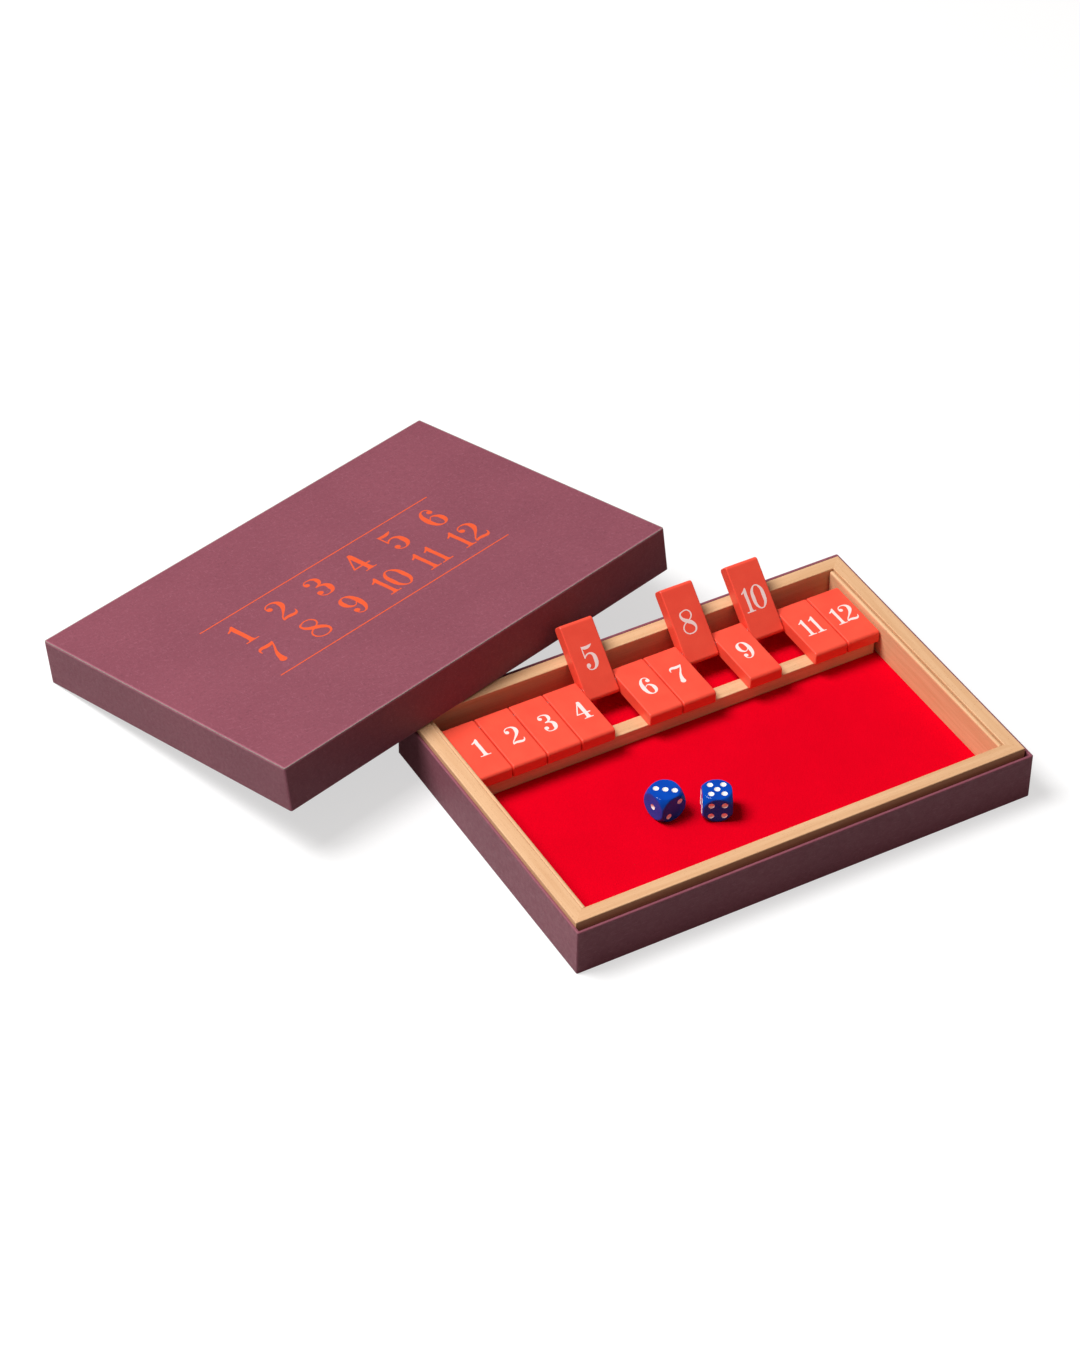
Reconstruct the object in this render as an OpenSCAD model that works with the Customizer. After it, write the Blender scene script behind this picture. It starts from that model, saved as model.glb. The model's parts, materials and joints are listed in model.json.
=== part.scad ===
// Shut the box game: a paper-wrapped box base with a wooden tray in it,
// twelve hinged number tiles, two dice, and the lid leaning on the back corner.
// The origin is the centre of the base's underside, with the tile row at +Y.

/* [Base box] */
// Outer width of the base, along the long front edge
base_w = 320; // [280:1:380]
// Outer depth of the base
base_d = 221.2; // [200:0.1:260]
// Outer height of the base's walls
base_h = 33.3; // [28:0.1:36]

/* [Lid] */
// Outer height of the lid
lid_h = 31.6; // [28:0.1:40]
// Play between the base's walls and the lid's walls, on each side
lid_play = 0.9; // [0.5:0.1:3]
// Turn of the leaning lid about the vertical
lid_turn = 15.6; // [12:0.1:22]
// Middle of the lid's raised rim, to the right of the base's back left corner
lid_over_x = 57.4; // [40:0.1:70]
// Middle of the lid's raised rim, in front of the base's back left corner
lid_over_y = 8.9; // [4:0.1:12]

/* [Box material] */
// Thickness of the grey board
board_t = 1.5; // [1:0.1:2]
// Thickness of the covering paper
paper_t = 0.25; // [0.2:0.05:0.4]
// Depth to which the paper is turned in over a rim
turn_in = 14; // [8:1:18]
// Radius of the wrapped upright corners
corner_r = 1.2; // [0.8:0.1:2]

/* [Wooden tray] */
// Mean gap between the tray and the base's side walls
tray_gap_x = 0.5; // [0.4:0.1:2]
// Mean gap between the tray and the base's front and back walls
tray_gap_y = 3.3; // [1:0.1:5]
// Share of the side gap by which the tray sits to the right of the centre
tray_shift_x = -0.8; // [-0.8:0.1:0.8]
// Share of the depth gap by which the tray sits behind the centre
tray_shift_y = 0.1; // [-0.8:0.1:0.8]
// Height of the frame's walls
frame_h = 34.1; // [30:0.1:40]
// Thickness of the frame's walls
frame_t = 9.3; // [8:0.1:11]
// Radius of the frame's top edges
frame_r = 0.6; // [0.3:0.1:1.5]
// Height of the floor panel above the foot of the frame
panel_lift = 4.9; // [2:0.1:8]
// Thickness of the floor panel
panel_t = 3; // [2:0.1:4]
// Depth of the panel's groove in the frame
groove_d = 3; // [2:0.1:4]
// Thickness of the felt
felt_t = 1; // [0.6:0.1:2]

/* [Slats, rail and rod] */
// Thickness of the end slats
slat_t = 3.2; // [2.6:0.1:4.5]
// Drop of the slats' top below the frame's top
slat_drop = 1; // [0.5:0.1:3]
// Radius of the slats' top edges
slat_r = 0.8; // [0.3:0.1:1.2]
// Gap at each end of a slat
slat_end_gap = 0.8; // [0.3:0.1:2]
// Height of the rest rail
rail_h = 10.1; // [8:0.1:11.5]
// Depth of the rest rail
rail_d = 10.2; // [6:0.1:14]
// Radius of the rest rail's long edges
rail_r = 0.5; // [0.2:0.1:1.5]
// Distance of the rail's ends from the slats
rail_end_gap = 2.5; // [1:0.1:6]
// Distance of the rail's front behind the tiles' front ends
rail_inset = 2.9; // [1:0.1:5]
// Diameter of the steel rod
rod_d = 3; // [2:0.1:4]
// Distance of the rod's axis in front of the back wall
rod_setback = 17.7; // [15:0.1:22]
// Width of the spacer washers' ring
washer_ring = 1.9; // [1:0.1:2.4]

/* [Number tiles] */
// Number of tiles
tile_count = 12; // [9:1:12]
// Length of a tile
tile_l = 50.5; // [44:0.1:56]
// Thickness of a tile
tile_t = 9.4; // [8:0.1:10.4]
// Length of a tile behind the rod's axis
tile_tail = 7; // [6:0.1:9]
// Gap between neighbouring tiles
tile_gap = 0.5; // [0.5:0.05:1.5]
// Gap between the end tiles and the slats
row_end_gap = 0.65; // [0.6:0.05:2]
// Radius of the tiles' rounded ends
tile_r = 3; // [1:0.1:3.5]
// Chamfer along the tiles' long edges
tile_chamfer = 0.5; // [0.2:0.1:1]

/* [Dice] */
// Edge length of a die
die_size = 18.5; // [17:0.5:20]
// Distance by which a die's corners are rounded back
die_corner_cut = 3.2; // [2:0.1:3.6]
// Diameter of a pip
pip_d = 3.8; // [2.6:0.1:3.9]
// Radius of the ball that cuts a pip
pip_ball_r = 3; // [2.2:0.1:4]
// Distance of the outer pips from the middle of a face
pip_pitch = 4.05; // [4:0.05:4.5]

/* [Fits] */
// Radial play between the rod and the tiles' bores
run_play = 0.08; // [0.03:0.01:0.1]
// Play of a washer between two tiles
washer_play = 0.1; // [0.05:0.01:0.2]
// Radial play between the rod and the slats' holes
rod_seat_play = 0.05; // [0.02:0.01:0.1]
// Gap between pieces that rest on each other and can be parted
rest_gap = 0.1; // [0.05:0.05:0.3]
// Gap under the lid's raised rim
rim_gap = 0.4; // [0.3:0.1:1]
// Play of a part in its groove or between its neighbours
joint_play = 0.1; // [0.05:0.05:0.3]

/* [Hidden] */
$fn = 64;

up_tiles = [5, 8, 10];
// Place of each die's middle from the tray's middle, and its turn
die_left_at = [-49.4, -25.6];
die_left_turn = 8;
die_right_at = [-21.9, -40.6];
die_right_turn = -26.3;

BASE_NODES = ["base_floor_board", "base_front_board", "base_back_board", "base_left_board",
    "base_right_board", "base_wrap", "base_bottom_paper", "base_lining"];
LID_NODES = ["lid_top_board", "lid_front_board", "lid_back_board", "lid_left_board",
    "lid_right_board", "lid_wrap", "lid_lining"];
TRAY_NODES = ["front_wall", "back_wall", "left_wall", "right_wall", "floor_panel", "felt"];
ROW_NODES = ["left_slat", "right_slat", "rest_rail", "pivot_rod", "spacer_washers"];
DICE_NODES = ["die_left", "die_right"];

plum = [0.36, 0.22, 0.26];
lining_colour = [0.30, 0.18, 0.22];
board_colour = [0.62, 0.60, 0.57];
beech = [0.92, 0.76, 0.58];
felt_red = [0.85, 0.02, 0.08];
tile_red = [0.98, 0.36, 0.28];
dice_blue = [0.05, 0.25, 0.70];
steel = [0.78, 0.78, 0.80];

cut = 1;
inset = paper_t + board_t;
wall_t = inset + paper_t;

// Tray: outer size, place and heights
tray_w = base_w - 2 * (wall_t + tray_gap_x);
tray_d = base_d - 2 * (wall_t + tray_gap_y);
tray_x = tray_shift_x * tray_gap_x;
tray_y = tray_shift_y * tray_gap_y;
tray_z = wall_t;
frame_top = tray_z + frame_h;
panel_z = tray_z + panel_lift;
panel_top = panel_z + panel_t;
felt_top = panel_top + felt_t;
clear_d = tray_d - 2 * frame_t;
clear_w = tray_w - 2 * (frame_t + slat_t);

// Tile row: the rod's place, the tiles' pitch and the rail
tile_w = (clear_w - 2 * row_end_gap - (tile_count - 1) * tile_gap) / tile_count;
tile_pitch = tile_w + tile_gap;
rail_top = felt_top + rail_h;
rod_y = clear_d / 2 - rod_setback;
rod_z = rail_top + rest_gap + tile_t / 2;
tile_front = rod_y + tile_tail - tile_l;
bore_d = rod_d + 2 * run_play;

// Radius of the ball that rounds a die's corners
die_ball_r = die_size * sqrt(3) / 2 - die_corner_cut;

// A raised tile leans on the rounded inner top edge of the back wall
edge_y = rod_setback + frame_r;
edge_z = frame_top - frame_r - rod_z;
edge_reach = norm([edge_y, edge_z]);
lean = atan2(edge_z, edge_y) + asin((tile_t / 2 + rest_gap + frame_r) / edge_reach);
up_angle = 180 - lean;

// Lid: outer size, and the tilt at which its rim lies on the highest edge below it
lid_w = base_w + 2 * (lid_play + wall_t);
lid_d = base_d + 2 * (lid_play + wall_t);
lid_tilt = asin((max(frame_top, base_h) + rim_gap) / (lid_d - wall_t));
lid_run = lid_d * cos(lid_tilt);
lid_near_x = -base_w / 2 + lid_over_x;
lid_near_y = base_d / 2 - lid_over_y;

function is_up(n) = len([for (u = up_tiles) if (u == n) u]) > 0;
function tile_x(n) = (n - (tile_count + 1) / 2) * tile_pitch;

// Layout of n pips on a face, with the pair and the trio along one diagonal
function pips(n) =
    let (p = pip_pitch, pair = [[-p, p], [p, -p]], other = [[-p, -p], [p, p]])
    n == 1 ? [[0, 0]] :
    n == 2 ? pair :
    n == 3 ? concat(pair, [[0, 0]]) :
    n == 4 ? concat(pair, other) :
    n == 5 ? concat(pair, other, [[0, 0]]) :
    concat(pair, other, [[0, p], [0, -p]]);

// Rectangle about the origin with round corners
module round_rect(w, d, r) {
    square([w, d - 2 * r], center = true);
    square([w - 2 * r, d], center = true);
    for (x = [-1, 1], y = [-1, 1])
        translate([x * (w / 2 - r), y * (d / 2 - r)])
            circle(r);
}

// Prism of a round-cornered rectangle between two heights
module block(w, d, r, z0, z1) {
    translate([0, 0, z0])
        linear_extrude(z1 - z0)
            round_rect(w, d, r);
}

// Outline of an open box's boards between two heights, inside its paper
module board_block(w, d, z0, z1) {
    block(w - 2 * paper_t, d - 2 * paper_t, corner_r - paper_t, z0, z1);
}

module floor_board(w, d) {
    color(board_colour) board_block(w, d, paper_t, inset);
}

// Wall of board along the box's width, at its front (-1) or its back (1)
module long_board(w, d, h, side) {
    color(board_colour)
        intersection() {
            board_block(w, d, inset, h - paper_t);
            translate([0, side * (d / 2 - paper_t - board_t / 2), h / 2])
                cube([w, board_t, h], center = true);
        }
}

// Wall of board between the long ones, at the box's left (-1) or its right (1)
module short_board(w, d, h, side) {
    color(board_colour)
        translate([side * (w / 2 - paper_t - board_t / 2), 0, (inset + h - paper_t) / 2])
            cube([board_t, d - 2 * inset, h - paper_t - inset], center = true);
}

// Paper round the walls of an open box, over its rim and turned in
module wrap_walls(w, d, h) {
    difference() {
        block(w, d, corner_r, paper_t, h);
        block(w - 2 * paper_t, d - 2 * paper_t, corner_r - paper_t, 0, h - paper_t);
        block(w - 2 * wall_t, d - 2 * wall_t, paper_t, 0, h + cut);
    }
    difference() {
        block(w - 2 * inset, d - 2 * inset, paper_t, h - turn_in, h);
        block(w - 2 * wall_t, d - 2 * wall_t, paper_t, h - turn_in - cut, h + cut);
    }
}

// Sheet of paper over the floor of an open box, on its outside
module wrap_floor(w, d) {
    block(w, d, corner_r, 0, paper_t);
}

// Paper inside an open box, on its floor and up to the turned-in paper
module lining(w, d, h) {
    difference() {
        block(w - 2 * inset, d - 2 * inset, paper_t, inset, h - turn_in);
        block(w - 2 * wall_t, d - 2 * wall_t, paper_t, wall_t, h);
    }
}

module base_wrap() {
    color(plum) wrap_walls(base_w, base_d, base_h);
}

module base_bottom_paper() {
    color(plum) wrap_floor(base_w, base_d);
}

module base_lining() {
    color(lining_colour) lining(base_w, base_d, base_h);
}

// The lid's own frame has its rim at z = 0 and its far long rim along the x axis
module lid_place() {
    translate([lid_near_x, lid_near_y, 0])
        rotate(lid_turn)
            translate([0, lid_run, 0])
                rotate([-lid_tilt, 0, 0])
                    translate([0, -lid_d / 2, lid_h])
                        mirror([0, 0, 1])
                            children();
}

module lid_wrap() {
    color(plum) lid_place() {
        wrap_walls(lid_w, lid_d, lid_h);
        wrap_floor(lid_w, lid_d);
    }
}

module lid_lining() {
    color(lining_colour) lid_place() lining(lid_w, lid_d, lid_h);
}

module tray_place() {
    translate([tray_x, tray_y, 0]) children();
}

// Cross-section of a frame wall, from its outer face to its grooved inner face
module frame_section() {
    difference() {
        union() {
            square([frame_t, frame_h - frame_r]);
            translate([frame_r, 0]) square([frame_t - 2 * frame_r, frame_h]);
            for (x = [frame_r, frame_t - frame_r])
                translate([x, frame_h - frame_r]) circle(frame_r);
        }
        translate([frame_t - groove_d, panel_lift - joint_play])
            square([groove_d + cut, panel_t + 2 * joint_play]);
    }
}

// Frame wall of one length along X, with mitred ends and its outer face at -Y
module frame_wall(length, depth) {
    translate([0, -depth / 2, 0])
        intersection() {
            translate([-length / 2, 0, tray_z])
                rotate([90, 0, 90])
                    linear_extrude(length) frame_section();
            linear_extrude(frame_top + cut)
                polygon([[-length / 2, 0], [length / 2, 0],
                    [length / 2 - frame_t, frame_t], [frame_t - length / 2, frame_t]]);
        }
}

module front_wall() {
    color(beech) tray_place() frame_wall(tray_w, tray_d);
}

module back_wall() {
    color(beech) tray_place() rotate(180) frame_wall(tray_w, tray_d);
}

module left_wall() {
    color(beech) tray_place() rotate(-90) frame_wall(tray_d, tray_w);
}

module right_wall() {
    color(beech) tray_place() rotate(90) frame_wall(tray_d, tray_w);
}

module floor_panel() {
    tongue = groove_d - joint_play;
    color(beech) tray_place()
        translate([0, 0, panel_z + panel_t / 2])
            cube([tray_w - 2 * (frame_t - tongue), clear_d + 2 * tongue, panel_t], center = true);
}

module felt() {
    color(felt_red) tray_place()
        translate([0, 0, panel_top + felt_t / 2])
            cube([clear_w - 2 * joint_play, clear_d - 2 * joint_play, felt_t], center = true);
}

// Cross-section of an end slat, with round top edges
module slat_section() {
    w = slat_t - joint_play;
    h = frame_top - slat_drop - panel_top;
    translate([-w / 2, 0]) square([w, h - slat_r]);
    translate([slat_r - w / 2, 0]) square([w - 2 * slat_r, h]);
    for (x = [-1, 1])
        translate([x * (w / 2 - slat_r), h - slat_r]) circle(slat_r);
}

// End slat beside the tiles, on the floor panel, which carries an end of the rod
module slat(side) {
    length = clear_d - 2 * slat_end_gap;
    color(beech) tray_place()
        translate([side * (clear_w + slat_t) / 2, 0, 0])
            difference() {
                translate([0, length / 2, panel_top])
                    rotate([90, 0, 0])
                        linear_extrude(length) slat_section();
                translate([0, rod_y, rod_z])
                    rotate([0, 90, 0])
                        cylinder(h = slat_t + cut, d = rod_d + 2 * rod_seat_play, center = true);
            }
}

module rest_rail() {
    length = clear_w - 2 * rail_end_gap;
    color(beech) tray_place()
        translate([-length / 2, tile_front + rail_inset + rail_d / 2, felt_top + rail_h / 2])
            rotate([90, 0, 90])
                linear_extrude(length) round_rect(rail_d, rail_h, rail_r);
}

module pivot_rod() {
    color(steel) tray_place()
        translate([0, rod_y, rod_z])
            rotate([0, 90, 0])
                cylinder(h = clear_w + 2 * (slat_t - joint_play), d = rod_d, center = true);
}

// One washer in each gap of the row, and one outside each end tile
module spacer_washers() {
    washer_t = tile_gap - washer_play;
    color(steel) tray_place()
        for (n = [0:tile_count])
            translate([tile_x(n) + tile_pitch / 2, rod_y, rod_z])
                rotate([0, 90, 0])
                    difference() {
                        cylinder(h = washer_t, d = bore_d + 2 * washer_ring, center = true);
                        cylinder(h = washer_t + cut, d = bore_d, center = true);
                    }
}

// Tile lying flat, with the rod's axis along X through the origin
module tile_body() {
    difference() {
        intersection() {
            translate([-tile_w / 2, tile_tail - tile_l / 2, 0])
                rotate([90, 0, 90])
                    linear_extrude(tile_w) round_rect(tile_l, tile_t, tile_r);
            translate([0, tile_tail + cut, 0])
                rotate([90, 0, 0])
                    linear_extrude(tile_l + 2 * cut) tile_section();
        }
        rotate([0, 90, 0])
            cylinder(h = tile_w + cut, d = bore_d, center = true);
    }
}

// Cross-section of a tile with its four long edges chamfered
module tile_section() {
    x = tile_w / 2;
    z = tile_t / 2;
    c = tile_chamfer;
    polygon([[c - x, -z], [x - c, -z], [x, c - z], [x, z - c],
        [x - c, z], [c - x, z], [-x, z - c], [-x, c - z]]);
}

module tile(n) {
    color(tile_red) tray_place()
        translate([tile_x(n), rod_y, rod_z])
            rotate([is_up(n) ? -up_angle : 0, 0, 0])
                tile_body();
}

// Pips of one face, cut into the top of a die about the origin
module face_pips(n) {
    lift = sqrt(pip_ball_r * pip_ball_r - pip_d * pip_d / 4);
    for (p = pips(n))
        translate([p[0], p[1], die_size / 2 + lift])
            sphere(pip_ball_r);
}

// Die with opposite faces that add up to seven, standing on the felt
module die(at, turn, top, front, side) {
    color(dice_blue) tray_place()
        translate([at[0], at[1], felt_top + rest_gap + die_size / 2])
            rotate(turn)
                difference() {
                    intersection() {
                        cube(die_size, center = true);
                        sphere(die_ball_r);
                    }
                    face_pips(top);
                    rotate([180, 0, 0]) face_pips(7 - top);
                    rotate([90, 0, 0]) rotate(90) face_pips(front);
                    rotate([-90, 0, 0]) face_pips(7 - front);
                    rotate([0, -90, 0]) face_pips(side);
                    rotate([0, 90, 0]) face_pips(7 - side);
                }
}

floor_board(base_w, base_d);  // base_floor_board
long_board(base_w, base_d, base_h, -1);  // base_front_board
long_board(base_w, base_d, base_h, 1);  // base_back_board
short_board(base_w, base_d, base_h, -1);  // base_left_board
short_board(base_w, base_d, base_h, 1);  // base_right_board
base_wrap();
base_bottom_paper();
base_lining();
lid_place() floor_board(lid_w, lid_d);  // lid_top_board
lid_place() long_board(lid_w, lid_d, lid_h, -1);  // lid_front_board
lid_place() long_board(lid_w, lid_d, lid_h, 1);  // lid_back_board
lid_place() short_board(lid_w, lid_d, lid_h, -1);  // lid_left_board
lid_place() short_board(lid_w, lid_d, lid_h, 1);  // lid_right_board
lid_wrap();
lid_lining();
front_wall();
back_wall();
left_wall();
right_wall();
floor_panel();
felt();
slat(-1);  // left_slat
slat(1);  // right_slat
rest_rail();
pivot_rod();
spacer_washers();
die(die_left_at, die_left_turn, 3, 2, 1);  // die_left
die(die_right_at, die_right_turn, 5, 4, 6);  // die_right
for (n = [1:tile_count])
    tile(n);
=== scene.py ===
# %% [markdown]
# # A shut the box game, dressed for its portrait
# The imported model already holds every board, wall, slat, tile and die at its true size and place. It could be
# rendered as it stands, but it would look like bare plastic. This lesson gives each surface its own finish, and
# models again the few pieces whose soft edges a hard solid cannot show: the paper round the box and its lid, the
# painted tiles, the dice, the felt and the end slats. The frame comes first, because later sizes are read from it.

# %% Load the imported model
import json
import math

import bmesh
import bpy
from mathutils import Matrix, Vector


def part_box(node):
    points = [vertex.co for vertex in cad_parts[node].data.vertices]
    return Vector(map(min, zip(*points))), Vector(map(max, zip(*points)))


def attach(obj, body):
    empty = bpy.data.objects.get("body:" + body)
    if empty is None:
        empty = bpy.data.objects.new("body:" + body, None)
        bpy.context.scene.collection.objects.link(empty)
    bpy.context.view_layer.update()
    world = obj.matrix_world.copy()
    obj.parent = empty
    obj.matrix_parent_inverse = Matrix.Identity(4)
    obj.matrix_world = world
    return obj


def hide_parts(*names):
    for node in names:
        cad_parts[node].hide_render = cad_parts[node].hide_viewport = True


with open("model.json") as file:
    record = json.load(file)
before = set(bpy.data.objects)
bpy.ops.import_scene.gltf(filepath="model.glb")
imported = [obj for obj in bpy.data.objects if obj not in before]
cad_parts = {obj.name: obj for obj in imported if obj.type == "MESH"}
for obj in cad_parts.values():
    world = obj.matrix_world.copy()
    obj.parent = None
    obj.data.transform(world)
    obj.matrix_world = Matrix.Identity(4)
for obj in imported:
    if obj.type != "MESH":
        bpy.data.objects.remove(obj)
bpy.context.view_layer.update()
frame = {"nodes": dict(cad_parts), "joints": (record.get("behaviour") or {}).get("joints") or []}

MM = 0.001

# %% [markdown]
# ## The camera
# A camera can be aimed by eye, or worked out from shapes whose real places are known. Here straight edges and
# corners of the base, the tray and the lid were matched to a picture of 1080 by 1350, which gives the place, the
# turn and the lens in one go. A long lens, from over the left front corner, keeps the box's sides almost parallel.

# %% The camera
CAMERA_AT = (-1.03849, -1.57304, 1.70987)
CAMERA_TURN = (49.07187, -0.71668, -29.55841)
CAMERA_LENS = 110.116

bpy.ops.object.camera_add(location=CAMERA_AT, rotation=[math.radians(turn) for turn in CAMERA_TURN])
camera = bpy.context.object
camera.data.lens = CAMERA_LENS
camera.data.clip_end = 20
bpy.context.scene.camera = camera
print("camera looks from", [round(place, 2) for place in camera.location], "m")

# %% [markdown]
# ## Materials from nodes
# A finish is a small network of nodes. Writing each node by hand fills pages, so one helper starts a material with
# its fixed values on the shader, one adds a node and joins its sockets, and one turns a wish such as "spots two
# millimetres across" into a noise. All patterns read object coordinates, which are real metres here.

# %% Helpers for materials
def colour(red, green, blue):
    """A colour as a screen shows it, from 0 to 255, turned into the linear values that light needs."""
    def linear(level):
        level = level / 255
        return level / 12.92 if level <= 0.04045 else ((level + 0.055) / 1.055) ** 2.4
    return (linear(red), linear(green), linear(blue), 1)


def start_material(name, fixed):
    """A new material whose fixed values are set on the shader's own sockets."""
    material = bpy.data.materials.new(name)
    material.use_nodes = True
    for socket, value in fixed.items():
        material.node_tree.nodes["Principled BSDF"].inputs[socket].default_value = value
    return material


def add_node(material, kind, sockets=None, **settings):
    """A node of one kind. Each socket gets a value, or a link if it is given another node's output."""
    made = material.node_tree.nodes.new("ShaderNode" + kind)
    for name, value in settings.items():
        setattr(made, name, value)
    for name, value in (sockets or {}).items():
        if isinstance(value, bpy.types.NodeSocket):
            material.node_tree.links.new(value, made.inputs[name])
        else:
            made.inputs[name].default_value = value
    return made


def noise(material, size, detail=3, stretch=(1, 1, 1)):
    """Cloudy noise whose spots are about size across, made longer along an axis by a stretch above 1."""
    where = add_node(material, "TexCoord").outputs["Object"]
    scale = [1 / (size * share) for share in stretch]
    mapped = add_node(material, "Mapping", {"Vector": where, "Scale": scale}).outputs["Vector"]
    made = add_node(material, "TexNoise", {"Vector": mapped, "Scale": 1, "Detail": detail})
    return made.outputs["Fac"]


def remap(material, share, low, high, to_low=0, to_high=1):
    """Stretches the part of a signal from low to high over a new range, and cuts off the rest."""
    return add_node(material, "MapRange", {"Value": share, "From Min": low, "From Max": high,
        "To Min": to_low, "To Max": to_high}).outputs["Result"]


def blend(material, share, under, over):
    """The colour under, with the colour over laid on it by a share."""
    mix = add_node(material, "Mix", data_type="RGBA")
    for socket, value in ((mix.inputs[0], share), (mix.inputs[6], under), (mix.inputs[7], over)):
        if isinstance(value, bpy.types.NodeSocket):
            material.node_tree.links.new(value, socket)
        else:
            socket.default_value = value
    return mix.outputs[2]


def maths(material, operation, first, second):
    """One sum on two signals or numbers."""
    made = add_node(material, "Math", operation=operation)
    for socket, value in zip(made.inputs, (first, second)):
        if isinstance(value, bpy.types.NodeSocket):
            material.node_tree.links.new(value, socket)
        else:
            socket.default_value = value
    return made.outputs[0]


def dress(material, base=None, rough=None, height=None, depth=0.0001, strength=1):
    """Joins the finished colour, roughness and height signals to the shader."""
    shader = material.node_tree.nodes["Principled BSDF"]
    links = material.node_tree.links
    if base is not None:
        links.new(base, shader.inputs["Base Color"])
    if rough is not None:
        links.new(rough, shader.inputs["Roughness"])
    if height is not None:
        bump = add_node(material, "Bump", {"Height": height, "Distance": depth, "Strength": strength})
        links.new(bump.outputs["Normal"], shader.inputs["Normal"])
    return material


print("a middle grey on the screen is", round(colour(128, 128, 128)[0], 3), "in linear light")

# %% [markdown]
# ## The floor and the light
# The game stands on a plain pale floor that glows a little, like a light table, which keeps the shadows under the
# box soft. One large lamp high at the back left throws the shadows to the front right, so the front sides fall into
# shade and the tops stay bright. A floor this pale would throw so much light back that the shade would be lost. A
# photographer would stand black cards beside the box. Here the camera sees the glowing floor, reflections see a
# second one without a glow, and neither lights the box from below.

# %% The floor
FLOOR_SIZE = 24.0
FLOOR_GLOW = 0.62
FLOOR_GREY = 166
REFLECTED_GREY = 228
CLOUD_STEP = 3


def lay_floor(name, drop, level, glow, hidden_from):
    """A wide floor just under the game, with a glow of its own, hidden from some kinds of rays."""
    bpy.ops.object.select_all(action="DESELECT")
    bpy.ops.mesh.primitive_plane_add(size=FLOOR_SIZE, location=(0, 0, -drop))
    floor = bpy.context.object
    floor.name = name
    paint = start_material(name + "_paint", {"Roughness": 0.8, "Specular IOR Level": 0.1,
        "Emission Color": (1, 1, 1, 1), "Emission Strength": glow})
    cloud = remap(paint, noise(paint, 600 * MM), 0.3, 0.7)
    dress(paint, base=blend(paint, cloud, colour(*[level] * 3), colour(*[level + CLOUD_STEP] * 3)))
    floor.data.materials.append(paint)
    for kind in hidden_from:
        setattr(floor, "visible_" + kind, False)


lay_floor("studio_floor", 0.02 * MM, FLOOR_GREY, FLOOR_GLOW, ("diffuse", "glossy", "shadow"))
lay_floor("reflected_floor", 0.04 * MM, REFLECTED_GREY, 0, ("camera", "diffuse", "shadow"))
print("floors:", FLOOR_SIZE, "m wide")

# %% The lamps and the sky
LAMP_TURN = 150.6
LAMP_HEIGHT = 60
LAMP_AWAY = 3.4
LAMP_SIZE = 1.5
LAMP_POWER = 143
SKY_LIGHT = 0.18
SKY_TINT = (1, 0.86, 0.8, 1)


def aim_lamp(name, turn, height, away, size, power):
    """A square lamp that looks at the middle of the game from a turn about Z and a height, in degrees."""
    turn, height = math.radians(turn), math.radians(height)
    flat = Vector((math.cos(turn), math.sin(turn), 0))
    place = (flat * math.cos(height) + Vector((0, 0, math.sin(height)))) * away
    bpy.ops.object.light_add(type="AREA", location=place)
    lamp = bpy.context.object
    lamp.name = name
    lamp.rotation_euler = place.to_track_quat("Z", "Y").to_euler()
    lamp.data.size = size
    lamp.data.energy = power
    return lamp


key_lamp = aim_lamp("key_lamp", LAMP_TURN, LAMP_HEIGHT, LAMP_AWAY, LAMP_SIZE, LAMP_POWER)
sky = bpy.data.worlds.new("sky")
sky.use_nodes = True
sky.node_tree.nodes["Background"].inputs["Color"].default_value = SKY_TINT
sky.node_tree.nodes["Background"].inputs["Strength"].default_value = SKY_LIGHT
bpy.context.scene.world = sky
bpy.context.scene.view_settings.view_transform = "Standard"
print("key lamp at", [round(place, 2) for place in key_lamp.location], "m")

# %% [markdown]
# ## Tools for modelling by hand
# The new pieces are made as one would at the desk: add a block, go into edit mode, choose edges or faces, and run
# an operator on them. Operators act on whatever is selected, so every helper starts by deselecting. Choosing is done
# in code, with a test on each edge or face.

# %% Helpers for modelling
# Lengths that differ by less than this count as equal
TOUCH = 0.01 * MM
BORE_SIDES = 48


def take(piece):
    """Leaves edit mode and makes one piece the only one selected."""
    if bpy.context.object and bpy.context.object.mode != "OBJECT":
        bpy.ops.object.mode_set(mode="OBJECT")
    bpy.ops.object.select_all(action="DESELECT")
    piece.select_set(True)
    bpy.context.view_layer.objects.active = piece


def block(name, width, depth, height, middle=(0, 0, 0)):
    """A box to carve from, of a given size, about a middle."""
    bpy.ops.object.select_all(action="DESELECT")
    bpy.ops.mesh.primitive_cube_add(size=1, location=middle)
    piece = bpy.context.object
    piece.name = name
    piece.scale = (width, depth, height)
    bpy.ops.object.transform_apply(location=True, rotation=True, scale=True)
    return piece


def choose(piece, kind, test):
    """Selects the faces or edges that pass a test, in edit mode."""
    bpy.ops.mesh.select_mode(type=kind)
    bpy.ops.mesh.select_all(action="DESELECT")
    mesh = bmesh.from_edit_mesh(piece.data)
    mesh.normal_update()
    chosen = [item for item in (mesh.faces if kind == "FACE" else mesh.edges) if test(item)]
    for item in chosen:
        item.select_set(True)
    mesh.select_flush_mode()
    bmesh.update_edit_mesh(piece.data)


def span(edge, axis):
    """How far an edge reaches along one axis: 0 for X, 1 for Y and 2 for Z."""
    return abs(edge.verts[0].co[axis] - edge.verts[1].co[axis])


def round_edges(piece, test, radius, steps):
    """Rounds the edges that pass a test."""
    choose(piece, "EDGE", test)
    bpy.ops.mesh.bevel(offset=radius, segments=steps, profile=0.5, affect="EDGES")


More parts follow.
